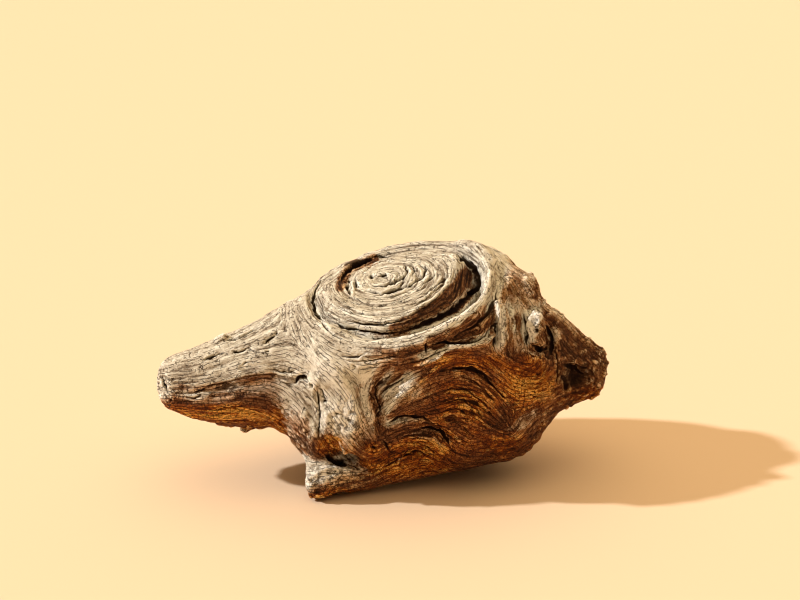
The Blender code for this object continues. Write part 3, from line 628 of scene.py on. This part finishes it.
def ring_grooves(points, on_top):
    """The grooves between the knot's rings, 1 at the bottom of one. They are strongest on one side."""
    _, angle, _ = knot_polar(points)
    ring = ring_number(points)
    turn = ring * KNOT_RADIUS / RING_PITCH + 1.3 * lattice_noise(points, 13.0, seed=8) + angle / 360
    groove = np.abs(np.sin(math.pi * turn)) ** 8 * ease(-0.4, 0.5, lattice_noise(points, 8.0, seed=9))
    groove *= 0.4 + 0.9 * ease(-0.3, 0.8, np.cos(np.radians(angle - RING_STRONG_SIDE)))
    return groove * on_top * (1 - ease(1.0, 1.2, ring))


class Skin:
    """What the wood's skin is like at each point of the smooth surface, mostly from 0 to 1."""

    def __init__(self, points, normals, field):
        self.points, self.normals = points, normals
        self.places = drawn(points)
        self.facing = ease(0.0, 0.2, -(normals @ DRAWING_AHEAD))
        self.behind = 1 - self.facing
        self.patches = lattice_noise(points, 17.0, seed=5)
        self.rough = np.clip(self.front(ROUGH_ZONES) + self.behind * (0.35 + 0.5 * self.patches), 0, 1)
        self.furrowed = np.clip(self.front(FURROWED_ZONES) + self.behind * 0.6, 0, 1)
        self.ragged = np.clip(blots(self.places, RAGGED_ZONES), 0, 1)
        radius, _, level = knot_polar(points)
        self.on_top = (1 - ease(56, 64, radius)) * ease(-18, -8, level) * ease(0.2, 0.5, normals @ KNOT_OUT)

        self.lips, self.cleft = front_relief(points, normals)
        self.rings = ring_grooves(points, self.on_top)
        self.fine, coarse = gathered_noise(points, normals, field, (FINE_SPACING, COARSE_SPACING))
        self.fine_furrow = ease(0.3, 1.8, self.fine + 0.3 * self.patches) * (1 - 0.5 * self.rough)
        self.coarse_furrow = ease(0.5, 2.0, coarse + 0.3 * self.patches)
        self.coarse_furrow = self.coarse_furrow * (1 - 0.7 * self.on_top) * (1 - 0.4 * self.rough)
        self.pits = ease(0.25, 0.7, 0.6 * self.noise(1.5, seed=21) + 0.5 * self.noise(2.8, seed=22))

    def noise(self, spacing, seed):
        return lattice_noise(self.points, spacing, seed)

    def front(self, zones):
        """Zones of the drawing, on what faces it."""
        return blots(self.places, zones) * self.facing

    def relief(self):
        """How far out each point moves, in millimetres."""
        height = self.lips - self.cleft
        height -= RING_DEPTH * self.rings
        furrow_depth = COARSE_DEPTH + FURROWED_DEPTH * self.furrowed
        height -= FINE_DEPTH * self.fine_furrow + furrow_depth * self.coarse_furrow
        pits = (PIT_DEPTH + ROUGH_PIT_DEPTH * self.rough) * self.pits
        height -= pits - (BARK_HEIGHT + ROUGH_BARK_HEIGHT * self.rough) * self.noise(3.0, seed=24)
        flakes = ease(0.35, 0.8, self.noise(3.6, seed=42))
        height += self.ragged * (RAGGED_HEIGHT * self.noise(2.4, seed=41) + FLAKE_HEIGHT * flakes)
        swell = LARGE_SWELL * self.noise(13.0, seed=25) * (1 - self.on_top)
        height += SMALL_SWELL * self.noise(6.0, seed=23) + swell
        return height

    def weathering_and_painted_light(self):
        """How bleached and lit each point is, how orange where it isn't, and how much painted shade it gets.
        The top and the left, where the key light falls, are painted paler on top of their bleaching; faces
        turned down are orange, partly fresh wood and partly painted warm shade, and darker with painted
        shade.
        """
        up = self.normals[:, 2]
        browner, darker = painted_shade_and_light(self.places + noise_pair(self.points, 4.0, seed=51))
        # Faces up and to the left are paler: partly bleaching, partly painted light from the key light's
        # side.
        bleached_and_lit = 1.2 * ease(-0.35, 0.55, 0.75 * up - 0.5 * self.normals[:, 0] + 0.2 * self.patches)
        paler = blots(self.places, BLEACHED_AND_LIT_ZONES) - blots(self.places, BROWN_AND_SHADED_ZONES)
        bleached_and_lit += self.facing * (paler - browner)
        bleached_and_lit -= 0.8 * self.facing * blots(self.places, FRESH_AND_SHADED_ZONES)
        # Faces turned down are orange: partly fresh wood, partly painted shade warmed by bounce light.
        fresh_and_shaded = ease(0.1, -0.5, up + 0.15 * self.patches) + 0.5 * self.behind * ease(0.2, 0.8, self.patches)
        fresh_and_shaded = (1 - 0.7 * self.facing) * fresh_and_shaded + self.front(FRESH_AND_SHADED_ZONES)
        # Painted shade: the darker zones and lines of the front, and more under faces turned down.
        painted_shade = self.facing * (blots(self.places, PAINTED_SHADE_ZONES) + darker) + 0.7 * ease(0.55, 0.9, -up)
        return bleached_and_lit, fresh_and_shaded, painted_shade

    def colour_values(self, near, wide):
        """The values for the material. near and wide say how far a point lies in a dip, in millimetres."""
        # Painted shade: the deeper a point lies in a cleft, furrow, ring groove, pit or dip, the darker it is
        # painted.
        crevice_shade = 0.8 * ease(0.4, 2.4, self.cleft) + 0.12 * self.fine_furrow + 0.35 * self.rings
        crevice_shade += (0.2 + 0.35 * self.furrowed) * self.coarse_furrow + 0.4 * self.pits * self.rough
        crevice_shade += 0.45 * ease(0.04, 0.4, near) + 0.5 * ease(0.3, 2.0, wide)
        # Ridges are paler: partly bleached, partly a painted highlight.
        ridge_bleach_and_highlight = 0.6 * ease(0.02, 0.25, -near) + 0.6 * ease(0.1, 1.2, -wide)
        bleached_and_lit, fresh_and_shaded, painted_shade = self.weathering_and_painted_light()
        return {
            "crevice_shade": np.clip(crevice_shade, 0, 1.2),
            "ridge_bleach_and_highlight": np.clip(ridge_bleach_and_highlight, 0, 1),
            # Grain streaks, with painted light from the light zones.
            "streak_and_painted_light": np.clip(0.5 - 0.2 * self.fine + self.front(PAINTED_LIGHT_ZONES), 0, 1.5),
            "weathered_and_lit": np.clip(bleached_and_lit, 0, 1.2),
            "fresh_and_shaded": np.clip(fresh_and_shaded, 0, 1),
            "painted_shade": np.clip(painted_shade, -0.6, 1.4),
            "rough": self.rough,
        }


def add_twig(mesh, places):
    """Adds a row of overlapping balls, each a closed form, along a twig."""
    for start, end in zip(places[:-1], places[1:]):
        start, end = np.array(start), np.array(end)
        for share in np.linspace(0, 1, TWIG_BALLS):
            *middle, radius = start + share * (end - start)
            bmesh.ops.create_icosphere(mesh, subdivisions=2, radius=radius, matrix=Matrix.Translation(middle))


def smooth_base(node):
    """The CAD solid with its twigs as an even, fine mesh without facets, in millimetres."""
    base = bmesh.new()
    base.from_mesh(node.data)
    base.transform(Matrix.Translation(PLACE) @ Matrix.Scale(1 / MM, 4))
    for places in TWIGS.values():
        add_twig(base, places)
    joined = bpy.data.meshes.new("base")
    base.to_mesh(joined)
    base.free()
    holder = linked("base", joined)
    remesh = holder.modifiers.new("fine", "REMESH")
    remesh.mode = "VOXEL"
    remesh.voxel_size = FINE_VOXEL
    mesh = evaluated_mesh(holder)
    bpy.data.objects.remove(holder)
    edges = read(mesh.edges, "vertices", 2, np.int64)
    set_points(mesh, spread(edges, read(mesh.vertices, "co", 3), FACET_SMOOTHING))
    return mesh


def worked_surface(node):
    """The finished fine surface and, for its points, the values that its colours are made from."""
    mesh = smooth_base(node)
    edges = read(mesh.edges, "vertices", 2, np.int64)
    points = read(mesh.vertices, "co", 3)
    normals = unit(spread(edges, read(mesh.vertices, "normal", 3), NORMAL_SMOOTHING))
    field = grain_field()
    skin = Skin(points, normals, field)
    set_points(mesh, on_floor(points + normals * skin.relief()[:, None]))

    moved = read(mesh.vertices, "co", 3)
    worked_normals = read(mesh.vertices, "normal", 3)
    near = np.sum((spread(edges, moved, NEAR_DIP) - moved) * worked_normals, 1)
    wide = np.sum((spread(edges, moved, WIDE_DIP) - moved) * worked_normals, 1)
    across = np.cross(grain(moved, normals, field), normals)
    return mesh, skin.colour_values(near, wide), across


def thinned(mesh, values, across):
    """The mesh within its number of triangles, with its points' values carried over."""
    full = linked("full", mesh)
    thin = full.modifiers.new("thin", "DECIMATE")
    thin.ratio = min(1.0, MOST_TRIANGLES / sum(len(face.vertices) - 2 for face in mesh.polygons))
    thin.use_collapse_triangulate = True
    result = evaluated_mesh(full)
    tree = KDTree(len(mesh.vertices))
    for index, vertex in enumerate(mesh.vertices):
        tree.insert(vertex.co, index)
    tree.balance()
    source = np.array([tree.find(vertex.co)[1] for vertex in result.vertices])
    bpy.data.objects.remove(full)
    for name, value in values.items():
        floats = result.attributes.new(name, "FLOAT", "POINT")
        floats.data.foreach_set("value", value[source].astype(np.float32))
    vectors = result.attributes.new("across", "FLOAT_VECTOR", "POINT")
    vectors.data.foreach_set("vector", across[source].astype(np.float32).ravel())
    set_points(result, on_floor(read(result.vertices, "co", 3)))
    result.transform(Matrix.Scale(MM, 4) @ Matrix.Translation(-PLACE))
    result.shade_smooth()
    return result


class Nodes:
    """A short way to write a material's nodes."""

    def __init__(self, name):
        self.material = bpy.data.materials.new(name)
        self.material.use_nodes = True
        self.tree = self.material.node_tree
        self.shader = self.tree.nodes["Principled BSDF"]

    def add(self, kind, inputs=None, **settings):
        node = self.tree.nodes.new(kind)
        for key, value in settings.items():
            setattr(node, key, value)
        for key, value in (inputs or {}).items():
            self.put(node.inputs[key], value)
        return node

    def put(self, socket, value):
        if isinstance(value, bpy.types.NodeSocket):
            self.tree.links.new(value, socket)
        else:
            socket.default_value = value

    def attribute(self, name, output="Fac"):
        return self.add("ShaderNodeAttribute", attribute_name=name, attribute_type="GEOMETRY").outputs[output]

    def math(self, operation, first, second=0.0):
        return self.add("ShaderNodeMath", {0: first, 1: second}, operation=operation).outputs[0]

    def total(self, base, *terms):
        """base plus each (value, its middle, its weight)."""
        for value, middle, weight in terms:
            inputs = {0: value, 1: weight, 2: -middle * weight}
            term = self.add("ShaderNodeMath", inputs, operation="MULTIPLY_ADD").outputs[0]
            base = self.math("ADD", base, term)
        return base

    def step(self, value, low, high):
        """0 below low, 1 above high, smooth between them."""
        node = self.add("ShaderNodeMapRange", {0: value, 1: low, 2: high}, interpolation_type="SMOOTHSTEP")
        return node.outputs[0]

    def mix(self, share, first, second):
        return self.add("ShaderNodeMix", {0: share, 6: first, 7: second}, data_type="RGBA").outputs[2]

    def ramp(self, value, stops):
        node = self.add("ShaderNodeValToRGB", {0: value})
        elements = node.color_ramp.elements
        while len(elements) < len(stops):
            elements.new(0.5)
        for element, (position, colour) in zip(elements, stops):
            element.position = position
            element.color = (*colour, 1.0)
        return node.outputs[0]

    def noise(self, place, scale, detail=3.0, roughness=0.55):
        inputs = {"Vector": place, "Scale": scale, "Detail": detail, "Roughness": roughness}
        return self.add("ShaderNodeTexNoise", inputs).outputs["Fac"]

    def gabor(self, place, spacing, direction, waves=3.0):
        """Waves of a spacing in a direction, fading in and out."""
        node = self.add("ShaderNodeTexGabor", gabor_type="3D")
        inputs = {"Vector": place, "Scale": 1 / (spacing * waves), "Frequency": waves, "Anisotropy": 1.0,
                  "Orientation": direction}
        for key, value in inputs.items():
            self.put(node.inputs[key], value)
        return node

    def hairline(self, place, spacing, direction, width):
        """Thin lines, 1 on the line, at the crests of such waves."""
        phase = self.gabor(place, spacing, direction).outputs["Phase"]
        away = self.math("ABSOLUTE", self.math("SUBTRACT", phase, 0.5))
        return self.step(away, width, width * 0.25)

    def crackle(self, place, spacing, width):
        """A net of thin lines round cells of a size, 1 on the line."""
        wander = self.add("ShaderNodeTexNoise", {"Vector": place, "Scale": 0.9 / spacing}).outputs["Color"]
        inputs = {0: wander, 1: (spacing, spacing, spacing), 2: place}
        bent = self.add("ShaderNodeVectorMath", inputs, operation="MULTIPLY_ADD").outputs[0]
        inputs = {"Vector": bent, "Scale": 1 / spacing}
        cells = self.add("ShaderNodeTexVoronoi", inputs, feature="DISTANCE_TO_EDGE")
        return self.step(cells.outputs["Distance"], width, width * 0.25)


def finest_lines(n, place, across, weathered_and_lit, rough, grit):
    """Hairlines along the grain and a net of cracks on bleached wood, and pits on rough wood."""
    hair_share = n.step(n.total(n.noise(place, 190.0), (weathered_and_lit, 1.0, -0.15)), 0.4, 0.54)
    hairs = n.math("MULTIPLY", n.hairline(place, LINE_SPACING, across, LINE_WIDTH), hair_share)
    net_share = n.step(n.total(n.noise(place, 300.0), (weathered_and_lit, 1.0, -0.12)), 0.48, 0.6)
    net = n.math("MULTIPLY", n.crackle(place, NET_SPACING, NET_WIDTH), net_share)
    pits = n.math("MULTIPLY", rough, n.step(grit, 0.5, 0.38))
    return n.math("MAXIMUM", n.math("MAXIMUM", hairs, net), pits)


def wood_material():
    """Weathered olive wood: bleached and painted pale where light falls, then tan, brown and orange where it
    is sheltered and in shade, with painted shade in its crevices and shaded parts.
    """
    n = Nodes("weathered_wood")
    place = n.add("ShaderNodeTexCoord").outputs["Object"]
    crevice_shade, ridge_bleach_and_highlight, streak_and_painted_light = n.attribute("crevice_shade"), n.attribute("ridge_bleach_and_highlight"), n.attribute("streak_and_painted_light")
    weathered_and_lit, fresh_and_shaded = n.attribute("weathered_and_lit"), n.attribute("fresh_and_shaded")
    painted_shade, rough = n.attribute("painted_shade"), n.attribute("rough")
    across = n.attribute("across", "Vector")
    fibre = n.gabor(place, LINE_SPACING * 0.5, across).outputs["Value"]
    speckle = n.noise(place, 1100.0, 3.0, 0.65)
    grit = n.noise(place, 420.0, 4.0, 0.6)
    cloud = n.noise(place, 70.0, 4.0, 0.6)
    lines = finest_lines(n, place, across, weathered_and_lit, rough, grit)

    # The tone: grain streaks with painted light, fibres, speckle, clouds, and ridges raised as a painted
    # highlight.
    tone = n.total(0.52, (streak_and_painted_light, 0.5, 0.7), (fibre, 0.5, 0.35), (speckle, 0.5, 0.9), (cloud, 0.5, 0.7),
                   (ridge_bleach_and_highlight, 0.25, 0.6))
    orange_share = n.step(n.total(fresh_and_shaded, (cloud, 0.5, 0.8), (grit, 0.5, 0.4)), 0.2, 0.8)
    sheltered_and_shaded = n.mix(orange_share, n.ramp(tone, BROWN), n.ramp(tone, ORANGE))
    bleach_and_light = n.total(weathered_and_lit, (cloud, 0.5, 0.5), (grit, 0.5, 0.6), (ridge_bleach_and_highlight, 0.3, 0.3))
    pale_share = n.step(bleach_and_light, 0.45, 1.0)
    colour = n.mix(n.step(bleach_and_light, 0.1, 0.45), sheltered_and_shaded, n.ramp(tone, TAN))
    colour = n.mix(pale_share, colour, n.ramp(tone, PALE))

    # Painted shade: crevices, dips and shaded zones go towards near-black, as do the finest cracks.
    shade_and_cracks = n.step(n.total(crevice_shade, (painted_shade, 0.0, 0.6), (grit, 0.5, 0.5)), 0.12, 1.0)
    shade_and_cracks = n.math("MAXIMUM", n.math("MULTIPLY", shade_and_cracks, 0.97), n.math("MULTIPLY", lines, 0.9))
    colour = n.mix(shade_and_cracks, colour, n.mix(pale_share, BROWN_SHADE_AND_CRACKS, PALE_SHADE_AND_CRACKS))
    n.put(n.shader.inputs["Base Color"], colour)
    n.put(n.shader.inputs["Roughness"], n.total(0.88, (ridge_bleach_and_highlight, 0.0, -0.2)))
    n.shader.inputs["Specular IOR Level"].default_value = 0.2
    height = n.total(0.5, (lines, 0.0, -0.8), (fibre, 0.5, 0.25), (speckle, 0.5, 0.4))
    height = n.math("ADD", height, n.math("MULTIPLY", grit, n.total(0.35, (rough, 0.0, 1.2))))
    bump = n.add("ShaderNodeBump", {"Height": height, "Strength": 1.0, "Distance": BUMP_HEIGHT})
    n.put(n.shader.inputs["Normal"], bump.outputs[0])
    return n.material


def wood():
    """The finished surface, which stands for the CAD node."""
    mesh, values, across = worked_surface(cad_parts[NODE])
    piece = linked("olive_wood_surface", thinned(mesh, values, across))
    piece.data.materials.append(wood_material())
    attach(piece, "root")
    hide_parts(NODE)


def pale_floor():
    """A wide, round, pale floor that curves up at its edge."""
    profile = [(0.5, 0.0), (FLOOR_RADIUS, 0.0)]
    for angle in np.radians(np.linspace(12, 72, 6)):
        radius = FLOOR_RADIUS + FLOOR_BEND * math.sin(angle)
        profile.append((radius, FLOOR_BEND - FLOOR_BEND * math.cos(angle)))
    turns = np.radians(np.arange(0, 360, 6))
    points = [(r * math.cos(a), r * math.sin(a), z) for r, z in profile for a in turns] + [(0, 0, 0)]
    count = len(turns)
    faces = [(len(points) - 1, i, (i + 1) % count) for i in range(count)]
    for row in range(len(profile) - 1):
        inner, outer = row * count, (row + 1) * count
        for i in range(count):
            following = (i + 1) % count
            faces.append((inner + i, outer + i, outer + following, inner + following))
    mesh = bpy.data.meshes.new("floor")
    mesh.from_pydata(points, [], faces)
    mesh.shade_smooth()
    floor = linked("floor", mesh)
    paper = Nodes("pale_floor")
    paper.shader.inputs["Base Color"].default_value = FLOOR_COLOUR
    paper.shader.inputs["Roughness"].default_value = 0.9
    floor.data.materials.append(paper.material)


def key_light():
    """The low, slightly warm key light from the left."""
    light = bpy.data.lights.new("key", "SUN")
    light.energy = KEY_STRENGTH
    light.angle = KEY_ANGLE
    light.color = KEY_COLOUR
    holder = linked("key", light)
    holder.rotation_mode = "QUATERNION"
    holder.rotation_quaternion = Vector(KEY_TRAVEL).normalized().to_track_quat("-Z", "Y")


def fill_light():
    """The warm fill from all round, brightest from above and behind."""
    world = bpy.data.worlds.new("warm_fill")
    bpy.context.scene.world = world
    world.use_nodes = True
    background = world.node_tree.nodes["Background"]
    background.inputs["Color"].default_value = SKY_COLOUR
    towards = world.node_tree.nodes.new("ShaderNodeTexCoord")
    along = world.node_tree.nodes.new("ShaderNodeVectorMath")
    along.operation = "DOT_PRODUCT"
    along.inputs[1].default_value = Vector(SKY_TOWARDS).normalized()
    rise = world.node_tree.nodes.new("ShaderNodeMapRange")
    rise.inputs["From Min"].default_value = SKY_EDGE
    rise.inputs["To Min"].default_value = SKY_DIM
    rise.inputs["To Max"].default_value = SKY_BRIGHT
    world.node_tree.links.new(towards.outputs["Generated"], along.inputs[0])
    world.node_tree.links.new(along.outputs["Value"], rise.inputs["Value"])
    world.node_tree.links.new(rise.outputs[0], background.inputs["Strength"])


def camera():
    """The camera at the drawing's eye, with its angle of view."""
    data = bpy.data.cameras.new("camera")
    data.lens = CAMERA_LENS
    data.sensor_width = CAMERA_SENSOR
    holder = linked("camera", data)
    holder.location = (DRAWING_EYE - PLACE) * MM
    holder.rotation_euler = (math.radians(90) - DRAWING_TILT, 0.0, 0.0)
    bpy.context.scene.camera = holder


wood()
pale_floor()
key_light()
fill_light()
camera()
bpy.context.scene.view_settings.view_transform = "Standard"
# A narrow pixel filter keeps the hairlines of the wood crisp
bpy.context.scene.cycles.filter_width = 1.1
